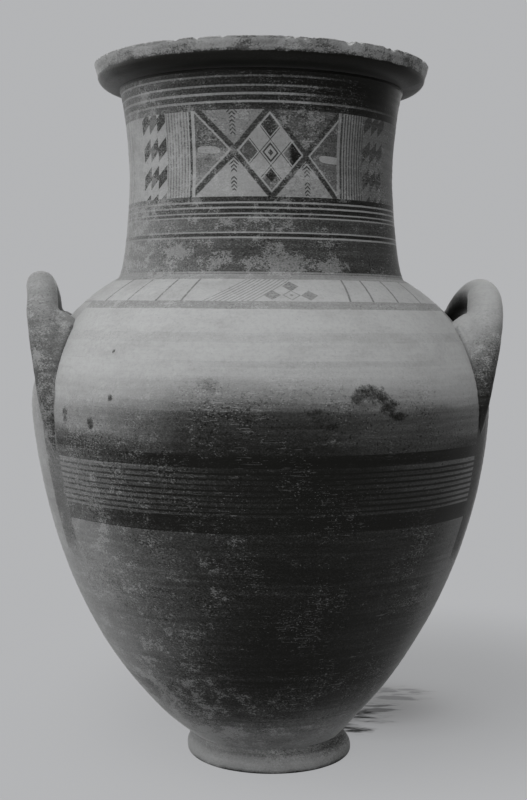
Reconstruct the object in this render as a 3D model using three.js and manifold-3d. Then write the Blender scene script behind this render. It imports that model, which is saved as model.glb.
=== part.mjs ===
// A large two-handled storage jar of fired clay, wheel-thrown in sections and luted together with slip.
// From the floor up it is a foot ring, a lower body with the floor, an upper body with the shoulder, a neck
// and a heavy lip, and a horseshoe handle stands on each side of the shoulder.
// Millimetres, +Z up. The origin is the centre of the face that the jar stands on, the handles are at +X and -X,
// and the painted front faces -Y.

import * as THREE from "three";
import { mergeVertices } from "three/addons/utils/BufferGeometryUtils.js";
import Module from "manifold-3d";

const wasm = await Module();
wasm.setup();

// Heights of the thrown sections
const FOOT_HEIGHT = 26;
const LOWER_BODY_HEIGHT = 304;
const UPPER_BODY_HEIGHT = 226;
const NECK_HEIGHT = 214;
const LIP_HEIGHT = 30;

// Outer radii
const FOOT_RADIUS = 95.5;
const FOOT_BULGE = 1.5;
const WAIST_RADIUS = 89;
const BELLY_RADIUS = 265.5;
const NECK_BASE_RADIUS = 168;
const THROAT_RADIUS = 152.1;
const NECK_TOP_RADIUS = 163.3;
const LIP_RADIUS = 192;

// Walls
const BODY_WALL = 12;
const NECK_WALL = 13;
const FLOOR_THICKNESS = 15;
const FLOOR_ROUND = 18; // the hollow where the floor turns up into the wall
const FOOT_RING_WIDTH = 28;
const FOOT_RECESS = 13;

// The foot's outer face swells a little and then draws in to the waist
const FOOT_BULGE_RISE = 6;
const FOOT_BULGE_SWEEP = 10;
const WAIST_SWEEP = 6;

// The run of the body wall: how it leaves the foot, passes the belly and reaches the neck
const BELLY_RISE = 82; // widest ring, above the seam between the body sections
const FOOT_LEAN = THREE.MathUtils.degToRad(48.8); // wall above the foot, from upright
const FOOT_SWEEP = 226;
const BELLY_SWEEP_BELOW = 5;
const BELLY_SWEEP_ABOVE = 30;
const SHOULDER_SLOPE = THREE.MathUtils.degToRad(30.3); // wall under the neck, from level
const SHOULDER_SWEEP = 87.6;

// The run of the neck wall, which narrows to the throat and opens again under the lip
const THROAT_RISE = 116; // throat, above the foot of the neck
const NECK_BASE_SWEEP = 11;
const THROAT_SWEEP_BELOW = 16;
const THROAT_SWEEP_ABOVE = 42;
const NECK_TOP_SWEEP = 2.5;

// The lip: a sloping underside, a rounded lower edge and a nearly upright face
const LIP_UNDERSIDE_RISE = 3;
const LIP_UNDERSIDE_SWEEP = 16;
const LIP_EDGE_SWEEP = 8;
const LIP_FACE_HEIGHT = 14;
const LIP_FACE_TAPER = 4;
const MOUTH_ROUND = 9;

// Seams: a V-shaped key under the upper section sits in a groove in the lower one
const KEY_HALF_WIDTH = 2.5;
const KEY_DEPTH = 3;
const CLEARANCE = 0.3; // slip between a luted piece and its seat

// The handles. The legs of a handle follow the belly, and the arch between them stands free of the shoulder.
const HANDLE_STAND = 5; // the arch's centreline, inside the widest ring
const HANDLE_TOP_RISE = 135; // the arch's centreline, above the widest ring
const HANDLE_BOW_RISE = 129;
const HANDLE_BOW_TURN = 7.5; // degrees round the jar from the middle of the handle
const HANDLE_CROOK_RISE = 107; // where the arch turns down into a leg
const HANDLE_CROOK_TURN = 15;
const HANDLE_KNEE_RISE = 63;
const HANDLE_KNEE_TURN = 22;
const HANDLE_ANKLE_RISE = 4;
const HANDLE_ANKLE_TURN = 26.5;
const HANDLE_TAIL_DROP = 72; // the leg's end, below the widest ring
const HANDLE_TAIL_TURN = 28;
const HANDLE_TAIL_SINK = 26; // how far the leg's end runs into the wall, from the widest ring
const HANDLE_HALF_DEPTH = 17; // across the wall
const HANDLE_HALF_WIDTH = 14.5; // along the wall
const WEB_TOP_RISE = 99; // the clay behind each leg fills the gap to the wall up to here
const WEB_REACH = 42; // from the leg's centreline in towards the jar
const WEB_HALF_WIDTH = 12.5;
const HANDLE_SKEW = 2.5; // degrees by which the left handle stands forward of the right one's line

// Fineness of the faceted solids
const STEPS_AROUND = 40;
const STEPS_ALONG_BODY = 10;
const STEPS_ALONG_SHOULDER = 8;
const STEPS_ALONG_NECK = 4;
const STEPS_ALONG_EDGE = 3;
const STEPS_ALONG_HANDLE = 32;
const STEPS_ALONG_WEB = 8;
const STEPS_TO_FIND_WEB = 60;
const STEPS_ROUND_HANDLE = 12;

// Levels worked out from the section heights
const BODY_SEAM = FOOT_HEIGHT + LOWER_BODY_HEIGHT;
const NECK_SEAM = BODY_SEAM + UPPER_BODY_HEIGHT;
const LIP_SEAM = NECK_SEAM + NECK_HEIGHT;
const RIM_TOP = LIP_SEAM + LIP_HEIGHT;
const BELLY_LEVEL = BODY_SEAM + BELLY_RISE;
const THROAT_LEVEL = NECK_SEAM + THROAT_RISE;

/** A point of an outline, at a radius from the jar's axis and a height above the floor. */
function at(radius, height) {
  return new THREE.Vector2(radius, height);
}

/** Points along a cubic curve that leaves `start` by `startSweep` and arrives at `end` by `endSweep`. */
function sweptCurve(start, startSweep, endSweep, end, steps) {
  const curve = new THREE.CubicBezierCurve(
    start,
    start.clone().add(startSweep),
    end.clone().add(endSweep),
    end,
  );
  return curve.getPoints(steps);
}

/** The outline moved sideways by `distance`, to the left of its own direction. */
function offsetOutline(outline, distance) {
  return outline.map((point, index) => {
    const before = outline[Math.max(index - 1, 0)];
    const after = outline[Math.min(index + 1, outline.length - 1)];
    const along = after.clone().sub(before).normalize();
    return at(point.x - along.y * distance, point.y + along.x * distance);
  });
}

/** The radius at which a rising outline crosses a height. */
function radiusAt(outline, height) {
  const above = outline.findIndex((point) => point.y >= height);
  const upper = outline[Math.max(above, 1)];
  const lower = outline[Math.max(above, 1) - 1];
  return THREE.MathUtils.mapLinear(height, lower.y, upper.y, lower.x, upper.x);
}

/** The stretch of a rising outline between two heights, with a point at each end. */
function stretchOf(outline, low, high) {
  const within = outline.filter((point) => point.y > low + 1 && point.y < high - 1);
  return [at(radiusAt(outline, low), low), ...within, at(radiusAt(outline, high), high)];
}

/** Outer face of the body wall, from the foot up to the neck. */
function bodyOutside() {
  const waist = at(WAIST_RADIUS, FOOT_HEIGHT);
  const belly = at(BELLY_RADIUS, BELLY_LEVEL);
  const neckCorner = at(NECK_BASE_RADIUS, NECK_SEAM);
  const outOfFoot = at(Math.sin(FOOT_LEAN), Math.cos(FOOT_LEAN)).multiplyScalar(FOOT_SWEEP);
  const intoNeck = at(Math.cos(SHOULDER_SLOPE), -Math.sin(SHOULDER_SLOPE)).multiplyScalar(SHOULDER_SWEEP);
  const below = sweptCurve(waist, outOfFoot, at(0, -BELLY_SWEEP_BELOW), belly, STEPS_ALONG_BODY);
  const above = sweptCurve(belly, at(0, BELLY_SWEEP_ABOVE), intoNeck, neckCorner, STEPS_ALONG_SHOULDER);
  return [...below, ...above.slice(1)];
}

/** Outer face of the neck wall, from the shoulder up to the lip. */
function neckOutside() {
  const base = at(NECK_BASE_RADIUS, NECK_SEAM);
  const throat = at(THROAT_RADIUS, THROAT_LEVEL);
  const top = at(NECK_TOP_RADIUS, LIP_SEAM);
  const below = sweptCurve(base, at(-NECK_BASE_SWEEP, 0), at(0, -THROAT_SWEEP_BELOW), throat, STEPS_ALONG_NECK);
  const above = sweptCurve(throat, at(0, THROAT_SWEEP_ABOVE), at(-NECK_TOP_SWEEP, 0), top, STEPS_ALONG_NECK);
  return [...below, ...above.slice(1)];
}

const bodyOuter = bodyOutside();
const bodyInner = [
  ...offsetOutline(bodyOuter, BODY_WALL).slice(0, -1),
  at(NECK_BASE_RADIUS - NECK_WALL, NECK_SEAM),
];
const neckOuter = neckOutside();
const neckInner = neckOuter.map((point) => at(point.x - NECK_WALL, point.y));

/** The groove in the top of a section, from the outside in. */
function groove(outerRadius, innerRadius, height) {
  const middle = (outerRadius + innerRadius) / 2;
  return [
    at(middle + KEY_HALF_WIDTH + CLEARANCE, height),
    at(middle, height - KEY_DEPTH - CLEARANCE),
    at(middle - KEY_HALF_WIDTH - CLEARANCE, height),
  ];
}

/** The key under a section, from the inside out. */
function key(outerRadius, innerRadius, height) {
  const middle = (outerRadius + innerRadius) / 2;
  return [
    at(middle - KEY_HALF_WIDTH, height),
    at(middle, height - KEY_DEPTH),
    at(middle + KEY_HALF_WIDTH, height),
  ];
}

/** A solid turned round the jar's axis from an outline that runs up outside and down inside. */
function turned(outline) {
  const geometry = new THREE.LatheGeometry(outline, STEPS_AROUND);
  geometry.rotateX(Math.PI / 2);
  return geometry;
}

/** The ring that the jar stands on. */
function footRing() {
  const inside = FOOT_RADIUS - FOOT_RING_WIDTH;
  const bulge = at(FOOT_RADIUS + FOOT_BULGE, FOOT_BULGE_RISE);
  const waist = at(WAIST_RADIUS, FOOT_HEIGHT);
  const face = sweptCurve(bulge, at(0, FOOT_BULGE_SWEEP), at(0, -WAIST_SWEEP), waist, STEPS_ALONG_EDGE);
  return turned([at(inside, 0), at(FOOT_RADIUS, 0), ...face, at(inside, FOOT_HEIGHT), at(inside, 0)]);
}

/** The lower body: its floor drops into the foot ring and its wall rises to the body seam. */
function lowerBody() {
  const spigot = FOOT_RADIUS - FOOT_RING_WIDTH - CLEARANCE;
  const floorTop = FOOT_RECESS + FLOOR_THICKNESS;
  const outside = stretchOf(bodyOuter, FOOT_HEIGHT, BODY_SEAM);
  const inside = stretchOf(bodyInner, bodyInner[0].y, BODY_SEAM).reverse();
  const outerRadius = outside.at(-1).x;
  const innerRadius = inside[0].x;
  return turned([
    at(0, FOOT_RECESS),
    at(spigot, FOOT_RECESS),
    at(spigot, FOOT_HEIGHT),
    ...outside,
    ...groove(outerRadius, innerRadius, BODY_SEAM),
    ...inside,
    at(bodyInner[0].x - FLOOR_ROUND, floorTop),
    at(0, floorTop),
  ]);
}

/** The upper body, from the body seam over the belly and in to the foot of the neck. */
function upperBody() {
  const outside = stretchOf(bodyOuter, BODY_SEAM, NECK_SEAM);
  const inside = stretchOf(bodyInner, BODY_SEAM, NECK_SEAM).reverse();
  return turned([
    ...key(outside[0].x, inside.at(-1).x, BODY_SEAM),
    ...outside,
    ...groove(outside.at(-1).x, inside[0].x, NECK_SEAM),
    ...inside,
    key(outside[0].x, inside.at(-1).x, BODY_SEAM)[0],
  ]);
}

/** The neck. */
function neck() {
  const inside = neckInner.slice().reverse();
  return turned([
    ...key(neckOuter[0].x, neckInner[0].x, NECK_SEAM),
    ...neckOuter,
    ...groove(neckOuter.at(-1).x, neckInner.at(-1).x, LIP_SEAM),
    ...inside,
    key(neckOuter[0].x, neckInner[0].x, NECK_SEAM)[0],
  ]);
}

/** The lip, which overhangs the neck and rounds over into the mouth. */
function rim() {
  const inside = NECK_TOP_RADIUS - NECK_WALL;
  const ledge = at(NECK_TOP_RADIUS, LIP_SEAM + LIP_UNDERSIDE_RISE);
  const edge = at(LIP_RADIUS - LIP_FACE_TAPER, RIM_TOP - LIP_FACE_HEIGHT);
  const underside = sweptCurve(ledge, at(LIP_UNDERSIDE_SWEEP, 0), at(0, -LIP_EDGE_SWEEP), edge, STEPS_ALONG_EDGE);
  const mouth = sweptCurve(
    at(inside + MOUTH_ROUND, RIM_TOP),
    at(-MOUTH_ROUND / 2, 0),
    at(0, MOUTH_ROUND / 2),
    at(inside, RIM_TOP - MOUTH_ROUND),
    STEPS_ALONG_EDGE,
  );
  return turned([
    at(inside, LIP_SEAM),
    ...key(NECK_TOP_RADIUS, inside, LIP_SEAM),
    at(NECK_TOP_RADIUS, LIP_SEAM),
    ...underside,
    at(LIP_RADIUS, RIM_TOP),
    ...mouth,
    at(inside, LIP_SEAM),
  ]);
}

/** A closed geometry as a solid that can be joined and cut. */
function toSolid(geometry) {
  const bare = geometry.clone();
  bare.deleteAttribute("normal");
  bare.deleteAttribute("uv");
  const merged = mergeVertices(bare, 1e-3);
  const corners = [];
  const index = merged.index.array;
  for (let i = 0; i < index.length; i += 3) {
    const [a, b, c] = [index[i], index[i + 1], index[i + 2]];
    if (a !== b && b !== c && c !== a) {
      corners.push(a, b, c);
    }
  }
  return new wasm.Manifold(new wasm.Mesh({
    numProp: 3,
    vertProperties: new Float32Array(merged.attributes.position.array),
    triVerts: new Uint32Array(corners),
  }));
}

/** A solid's surface as a geometry. */
function toGeometry(solid) {
  const mesh = solid.getMesh();
  const geometry = new THREE.BufferGeometry();
  geometry.setAttribute("position", new THREE.BufferAttribute(new Float32Array(mesh.vertProperties), 3));
  geometry.setIndex(new THREE.BufferAttribute(new Uint32Array(mesh.triVerts), 1));
  geometry.computeVertexNormals();
  return geometry;
}

/** A point on the handle's centreline: turned round the jar from +X, and raised above the widest ring. */
function onHandle(turn, rise, radius) {
  const angle = THREE.MathUtils.degToRad(turn);
  return new THREE.Vector3(radius * Math.cos(angle), radius * Math.sin(angle), BELLY_LEVEL + rise);
}

/** One leg's centreline points, from its end on the belly up to the bow of the arch. */
function legPoints(side) {
  const stand = BELLY_RADIUS - HANDLE_STAND;
  return [
    onHandle(side * HANDLE_TAIL_TURN, -HANDLE_TAIL_DROP, BELLY_RADIUS - HANDLE_TAIL_SINK),
    onHandle(side * HANDLE_ANKLE_TURN, HANDLE_ANKLE_RISE, stand),
    onHandle(side * HANDLE_KNEE_TURN, HANDLE_KNEE_RISE, stand),
    onHandle(side * HANDLE_CROOK_TURN, HANDLE_CROOK_RISE, stand),
    onHandle(side * HANDLE_BOW_TURN, HANDLE_BOW_RISE, stand),
  ];
}

/** An upright oval section for sweeping, `inset` towards the jar from the path. */
function ovalSection(halfWidth, halfDepth, inset) {
  const section = new THREE.Shape();
  section.absellipse(0, -inset, halfWidth, halfDepth, 0, 2 * Math.PI, false, 0);
  return new THREE.Shape(section.getSpacedPoints(STEPS_ROUND_HANDLE).slice(0, -1));
}

/** The clay behind one leg, from the leg's end up to the window under the arch. */
function web(side) {
  const path = new THREE.CatmullRomCurve3(legPoints(side).slice(0, 4), false, "centripetal");
  const legs = path.getPoints(STEPS_TO_FIND_WEB).filter((point) => point.z <= BELLY_LEVEL + WEB_TOP_RISE);
  const stretch = new THREE.CatmullRomCurve3(legs, false, "centripetal");
  return new THREE.ExtrudeGeometry(ovalSection(WEB_HALF_WIDTH, WEB_REACH / 2, WEB_REACH / 2), {
    steps: STEPS_ALONG_WEB,
    extrudePath: stretch,
  });
}

/** One horseshoe handle, turned round the jar from +X, with its legs shaped to the wall. */
function handleSolid(turn, jar) {
  const crown = onHandle(0, HANDLE_TOP_RISE, BELLY_RADIUS - HANDLE_STAND);
  const path = new THREE.CatmullRomCurve3(
    [...legPoints(-1), crown, ...legPoints(1).reverse()],
    false,
    "centripetal",
  );
  const rod = new THREE.ExtrudeGeometry(ovalSection(HANDLE_HALF_WIDTH, HANDLE_HALF_DEPTH, 0), {
    steps: STEPS_ALONG_HANDLE,
    extrudePath: path,
  });
  const [arch, frontWeb, backWeb] = [rod, web(-1), web(1)].map((part) => toSolid(part.rotateZ(turn)));
  return arch.add(frontWeb).add(backWeb).subtract(jar);
}

/** The jar's outer form without its handles, grown by the slip under them. */
function handleSeat() {
  const grown = offsetOutline(bodyOuter, -CLEARANCE);
  const first = grown[0];
  const last = grown.at(-1);
  return toSolid(turned([at(0, first.y), ...grown, at(0, last.y)]));
}

/** A named mesh of fired clay. */
function clayPiece(name, geometry, colour, roughness) {
  const material = new THREE.MeshStandardMaterial({ color: colour, roughness, metalness: 0 });
  const mesh = new THREE.Mesh(geometry, material);
  mesh.name = name;
  return mesh;
}

const PAINTED_DARK = 0x4c4b46;
const PAINTED_MIXED = 0x6f6e69;
const PALE_SLIP = 0xa9a8a2;
const WORN_HANDLE = 0x85847e;

const jar = new THREE.Group();
const seat = handleSeat();
const leftTurn = Math.PI + THREE.MathUtils.degToRad(HANDLE_SKEW);

jar.add(
  clayPiece("foot_ring", footRing(), PALE_SLIP, 0.85),
  clayPiece("lower_body", lowerBody(), PAINTED_DARK, 0.7),
  clayPiece("upper_body", upperBody(), PAINTED_MIXED, 0.75),
  clayPiece("neck", neck(), PAINTED_MIXED, 0.75),
  clayPiece("rim", rim(), PALE_SLIP, 0.8),
  clayPiece("handle_right", toGeometry(handleSolid(0, seat)), WORN_HANDLE, 0.8),
  clayPiece("handle_left", toGeometry(handleSolid(leftTurn, seat)), WORN_HANDLE, 0.8),
);

export default jar;
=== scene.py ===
"""A large two-handled jar of painted, fired clay, standing on a plain pale floor.

The jar was thrown on a wheel in sections and luted together: a foot ring, a lower body, an upper body, a neck
and a heavy lip, with a horseshoe handle on each side of the shoulder. Lengths are in metres unless a name ends
in _mm, +Z is up, the handles are at +X and -X, and the painted front faces -Y.
"""

import json
import logging
import math
from dataclasses import dataclass, replace
from enum import Enum
from functools import reduce
from operator import or_
from typing import Callable, Iterable, Mapping, Optional, Sequence, Union

import bpy
from mathutils import Matrix, Vector, noise
from mathutils.geometry import interpolate_bezier

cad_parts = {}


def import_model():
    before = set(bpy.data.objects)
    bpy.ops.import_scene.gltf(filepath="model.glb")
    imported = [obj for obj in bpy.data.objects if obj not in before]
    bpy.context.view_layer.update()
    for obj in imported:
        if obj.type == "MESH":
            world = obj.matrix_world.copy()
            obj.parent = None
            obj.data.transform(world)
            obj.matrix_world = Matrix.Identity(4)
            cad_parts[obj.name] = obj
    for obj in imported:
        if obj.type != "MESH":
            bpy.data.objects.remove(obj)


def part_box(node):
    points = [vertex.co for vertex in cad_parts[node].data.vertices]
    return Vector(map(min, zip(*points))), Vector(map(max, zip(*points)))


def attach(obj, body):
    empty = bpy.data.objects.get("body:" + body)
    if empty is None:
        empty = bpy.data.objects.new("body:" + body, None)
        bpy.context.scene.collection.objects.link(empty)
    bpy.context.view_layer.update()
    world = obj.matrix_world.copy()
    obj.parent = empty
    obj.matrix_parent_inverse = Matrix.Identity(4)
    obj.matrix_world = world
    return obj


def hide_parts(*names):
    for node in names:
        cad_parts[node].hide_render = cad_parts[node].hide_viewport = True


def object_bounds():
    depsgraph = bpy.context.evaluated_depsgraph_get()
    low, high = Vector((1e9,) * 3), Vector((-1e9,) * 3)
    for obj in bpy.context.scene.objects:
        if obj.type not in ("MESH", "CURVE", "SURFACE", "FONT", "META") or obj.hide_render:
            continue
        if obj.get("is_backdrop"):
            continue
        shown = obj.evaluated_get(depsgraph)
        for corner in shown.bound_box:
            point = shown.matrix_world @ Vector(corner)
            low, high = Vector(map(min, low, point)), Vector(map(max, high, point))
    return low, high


LOG = logging.getLogger("jar")
MM = 0.001

Socket = bpy.types.NodeSocket
Value = Union["Reading", Socket, float, Sequence[float]]
Inputs = Mapping[Union[int, str], Value]
Curve = tuple[tuple[float, float], ...]
Outline = list[Vector]
Paints = Sequence[bpy.types.Material]


def point(radius_mm: float, height_mm: float) -> Vector:
    """Place a point of an outline in the XZ plane, given in millimetres."""
    return Vector((radius_mm * MM, 0.0, height_mm * MM))


def swept_curve(start: Vector, start_sweep: Vector, end_sweep: Vector, end: Vector, steps: int) -> Outline:
    """Follow a cubic curve between two points of an outline.

    Args:
        start: where the curve begins.
        start_sweep: how it leaves the start, from there.
        end_sweep: how it arrives at the end, from there.
        end: where the curve stops.
        steps: how many straight steps it is cut into.

    Returns:
        The points from start to end, both included.
    """
    return list(interpolate_bezier(start, start + start_sweep, end + end_sweep, end, steps + 1))


def smoothstep(low: float, high: float, value: float) -> float:
    """Rise smoothly from 0 at low to 1 at high."""
    share = min(max((value - low) / (high - low), 0.0), 1.0)
    return share * share * (3.0 - 2.0 * share)


@dataclass
class Levels:
    """The heights at which the thrown sections meet, read from the frame."""

    foot_top: float
    body_seam: float
    neck_seam: float
    lip_seam: float
    rim_top: float

    @classmethod
    def from_frame(cls) -> "Levels":
        """Read each section's top from its frame node."""
        tops = [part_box(name)[1].z for name in ("foot_ring", "lower_body", "upper_body", "neck", "rim")]
        return cls(*tops)


class Side(Enum):
    """The side of the jar that a handle stands on, as its turn from +X in degrees."""

    RIGHT = 0.0
    LEFT = 182.5


@dataclass(frozen=True)
class HandMade:
    """How the thrown jar departs from a perfect form."""

    lean_mm: Curve = (
        (0.0, 11.3), (60.0, 2.2), (150.0, -0.1), (300.0, -0.6), (500.0, -2.5), (800.0, -4.4),
    )
    swell: float = 1.0 * MM
    swell_scale: float = 5.0
    lump: float = 0.35 * MM
    lump_scale: float = 38.0
    ridge: float = 0.12 * MM
    ridge_pitch: float = 8.5 * MM
    ridge_wander: float = 3.0

    def lean_at(self, height: float) -> float:
        """Find how far the jar's axis has wandered towards +X at a height."""
        for (low, low_lean), (high, high_lean) in zip(self.lean_mm, self.lean_mm[1:]):
            if height <= high * MM:
                share = smoothstep(low * MM, high * MM, height)
                return (low_lean + (high_lean - low_lean) * share) * MM
        return self.lean_mm[-1][1] * MM

    def moved(self, place: Vector) -> Vector:
        """Move a point of the perfect form to where the potter left it."""
        radius = math.hypot(place.x, place.y)
        if radius < 1.0 * MM:
            return Vector((place.x + self.lean_at(place.z), place.y, place.z))
        outward = Vector((place.x / radius, place.y / radius, 0.0))
        swell = self.swell * noise.noise(place * self.swell_scale)
        lump = self.lump * noise.noise(place * self.lump_scale)
        wander = self.ridge_wander * noise.noise(place * 9.0)
        ridge = self.ridge * math.sin(place.z / self.ridge_pitch * math.tau + wander)
        lean = Vector((self.lean_at(place.z), 0.0, 0.0))
        return place + outward * (swell + lump + ridge) + lean


HAND_MADE = HandMade()


def deselect_all() -> None:
    """Leave object mode with nothing selected."""
    if bpy.context.object and bpy.context.object.mode != "OBJECT":
        bpy.ops.object.mode_set(mode="OBJECT")
    bpy.ops.object.select_all(action="DESELECT")


def make_active(piece: bpy.types.Object) -> None:
    """Select one object alone and make it the active one."""
    deselect_all()
    piece.select_set(True)
    bpy.context.view_layer.objects.active = piece


def turn_outline(name: str, outline: Outline, steps: int) -> bpy.types.Object:
    """Draw an outline by extruding one vertex, and spin it round the jar's axis.

    Args:
        name: the new object's name.
        outline: points in the XZ plane, up outside and down inside; closed, or starting and ending on the
            axis.
        steps: how many faces the piece has around it.

    Returns:
        The closed piece, at the origin.
    """
    deselect_all()
    bpy.ops.mesh.primitive_plane_add(size=MM)
    piece = bpy.context.object
    piece.name = name
    bpy.ops.object.mode_set(mode="EDIT")
    bpy.ops.mesh.select_mode(type="VERT")
    bpy.ops.mesh.select_all(action="SELECT")
    bpy.ops.mesh.merge(type="CENTER")
    bpy.ops.transform.translate(value=outline[0])
    for here, there in zip(outline, outline[1:]):
        bpy.ops.mesh.extrude_region_move(TRANSFORM_OT_translate={"value": there - here})
    bpy.ops.mesh.select_all(action="SELECT")
    bpy.ops.mesh.spin(steps=steps, angle=math.tau, center=(0.0, 0.0, 0.0), axis=(0.0, 0.0, 1.0))
    bpy.ops.mesh.select_all(action="SELECT")
    bpy.ops.mesh.remove_doubles(threshold=0.02 * MM)
    bpy.ops.mesh.dissolve_degenerate(threshold=0.01 * MM)
    bpy.ops.mesh.select_all(action="SELECT")
    bpy.ops.mesh.normals_make_consistent(inside=False)
    bpy.ops.object.mode_set(mode="OBJECT")
    return piece


def reshape(piece: bpy.types.Object, move: Callable[[Vector], Vector]) -> None:
    """Move every vertex of a piece by a rule of its place."""
    for vertex in piece.data.vertices:
        vertex.co = move(vertex.co)
    piece.data.update()


def smooth_by_angle(piece: bpy.types.Object, degrees: float) -> None:
    """Shade a piece smooth, with the edges sharper than an angle left crisp."""
    make_active(piece)
    bpy.ops.object.shade_smooth_by_angle(angle=math.radians(degrees))


def apply_modifier(piece: bpy.types.Object, kind: str, **settings: object) -> None:
    """Put one modifier on a piece and apply it at once."""
    make_active(piece)
    modifier = piece.modifiers.new(kind.lower(), kind)
    for key, value in settings.items():
        setattr(modifier, key, value)
    bpy.ops.object.modifier_apply(modifier=modifier.name)


def dress(piece: bpy.types.Object, node: str) -> None:
    """Put a finished piece in place of its frame node and log how many faces it has."""
    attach(piece, "root")
    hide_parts(node)
    LOG.info("%s: %d faces", piece.name, len(piece.data.polygons))


class Graph:
    """Builds one node tree with short calls."""

    def __init__(self, tree: bpy.types.NodeTree) -> None:
        """Start on an empty tree."""
        self.tree = tree
        tree.nodes.clear()

    def node(self, kind: str, inputs: Optional[Inputs] = None, **settings: object) -> bpy.types.Node:
        """Add a shader node of a kind, with its settings, and feed its inputs."""
        made = self.tree.nodes.new(f"ShaderNode{kind}")
        for key, value in settings.items():
            setattr(made, key, value)
        self.feed(made, inputs or {})
        return made

    def feed(self, node: bpy.types.Node, inputs: Inputs) -> None:
        """Link a node's inputs, or set their values where numbers are given."""
        for name, value in inputs.items():
            source = value.socket if isinstance(value, Reading) else value
            if isinstance(source, bpy.types.NodeSocket):
                self.tree.links.new(source, node.inputs[name])
            else:
                node.inputs[name].default_value = source

    def group(self, tree: bpy.types.NodeTree, **inputs: Value) -> dict[str, "Reading"]:
        """Place a node group and read its outputs by name."""
        made = self.node("Group", inputs, node_tree=tree)
        return {output.name: Reading(self, output) for output in made.outputs}


@dataclass(frozen=True)
class Band:
    """One painted band: everything from its top down to the next band's top."""

    top_mm: float
    tone: float
    wear: float


@dataclass(frozen=True, eq=False)
class Reading:
    """What one socket gives at each place of a surface, on which sums can be written."""

    graph: Graph
    socket: Socket

    def _made(self, kind: str, inputs: Inputs, output: Union[int, str], **settings: object) -> "Reading":
        """Add a node and read one of its outputs."""
        return Reading(self.graph, self.graph.node(kind, inputs, **settings).outputs[output])

    def math(self, operation: str, other: Value = 0.0, clamp: bool = False) -> "Reading":
        """Add a Math node, with this as its first value."""
        return self._made("Math", {0: self, 1: other}, 0, operation=operation, use_clamp=clamp)

    def __add__(self, other: Value) -> "Reading":
        """Add a value."""
        return self.math("ADD", other)

    def __sub__(self, other: Value) -> "Reading":
        """Take a value away."""
        return self.math("SUBTRACT", other)

    def __rsub__(self, whole: float) -> "Reading":
        """Take this away from a number."""
        return self._made("Math", {0: whole, 1: self}, 0, operation="SUBTRACT")

    def __mul__(self, other: Value) -> "Reading":
        """Multiply by a value."""
        return self.math("MULTIPLY", other)

    def __truediv__(self, size: float) -> "Reading":
        """Measure this as a share of a size."""
        return self.math("MULTIPLY", 1.0 / size)

    def __pow__(self, exponent: float) -> "Reading":
        """Raise this to a power."""
        return self.math("POWER", exponent)

    def __rpow__(self, base: float) -> "Reading":
        """Raise a number to this power."""
        return self._made("Math", {0: base, 1: self}, 0, operation="POWER")

    def __or__(self, other: Value) -> "Reading":
        """Join two masks, so that either marks the place."""
        return self.math("MAXIMUM", other)

    def __abs__(self) -> "Reading":
        """Drop the sign."""
        return self.math("ABSOLUTE")

    def fraction(self) -> "Reading":
        """Keep what is past the last whole number."""
        return self.math("FRACT")

    def above(self, limit: Value) -> "Reading":
        """Mark what is greater than a limit, with a hard edge."""
        return self.math("GREATER_THAN", limit)

    def step(self, low: Value, high: Value) -> "Reading":
        """Rise smoothly from 0 at low to 1 at high, or fall where low is the greater."""
        inputs = {"Value": self, "From Min": low, "From Max": high}
        return self._made("MapRange", inputs, "Result", interpolation_type="SMOOTHSTEP", clamp=True)

    def between(self, low: float, high: float, soft: float) -> "Reading":
        """Mark the values between two limits, with edges that are a little soft."""
        return self.step(low - soft, low + soft) * self.step(high + soft, high - soft)

    def pick(self, plain: Value, marked: Value) -> "Reading":
        """Take one value where this mask is 0 and another where it is 1."""
        return self._made("Mix", {0: self, 2: plain, 3: marked}, 0, data_type="FLOAT", clamp_factor=True)

    def tint(self, plain: Value, marked: Value) -> "Reading":
        """Take one colour where this mask is 0 and another where it is 1."""
        return self._made("Mix", {0: self, 6: plain, 7: marked}, 2, data_type="RGBA", clamp_factor=True)

    def parts(self) -> list["Reading"]:
        """Read a place's X, Y and Z."""
        return [Reading(self.graph, part) for part in self.graph.node("SeparateXYZ", {0: self}).outputs]

    def squeezed(self, z: float, x: float = 1.0) -> "Reading":
        """Multiply a place's Z, and its X if asked, so that a noise read there is shorter that way."""
        return self._made("VectorMath", {0: self, 1: (x, 1.0, z)}, 0, operation="MULTIPLY")

    def distance(self, x: float, y: float) -> "Reading":
        """Measure how far a place is from a point on the floor."""
        return self._made("VectorMath", {0: self, 1: (x, y, 0.0)}, "Value", operation="DISTANCE")

    def noise(self, scale: float, detail: float, roughness: float) -> "Reading":
        """Read a noise at a place."""
        inputs = {"Vector": self, "Scale": scale, "Detail": detail, "Roughness": roughness}
        return self._made("TexNoise", inputs, "Fac")

    def wobbled(self, place: "Reading", reach: float, scale: float = 14.0, detail: float = 2.0) -> "Reading":
        """Let a painted line wander as a hand-held brush does, or more raggedly with more detail."""
        return self + (place.noise(scale, detail, 0.5 + detail * 0.03) - 0.5) * (reach * 2.0)

    def ramp(self, stops: Sequence[tuple[float, ...]], high: float, kind: str = "LINEAR") -> "Reading":
        """Read a colour off a ramp.

        Args:
            stops: rising values, each with the three parts of the colour there.
            high: the value at the ramp's end.
            kind: how the ramp runs between its stops.

        Returns:
            The colour.
        """
        low = stops[0][0]
        share = self._made("MapRange", {"Value": self, "From Min": low, "From Max": high}, "Result")
        ramp = self.graph.node("ValToRGB", {"Fac": share})
        ramp.color_ramp.interpolation = kind
        elements = ramp.color_ramp.elements
        elements.remove(elements[-1])
        for index, (value, *colour) in enumerate(stops):
            position = (value - low) / (high - low)
            element = elements.new(position) if index else elements[0]
            element.position = position
            element.color = (*colour, 1.0)
        return Reading(self.graph, ramp.outputs["Color"])

    def curve(self, points: Curve) -> "Reading":
        """Follow straight stretches through points, each with a value and what it gives."""
        return self.ramp([(value, level, level, level) for value, level in points], points[-1][0])

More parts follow.
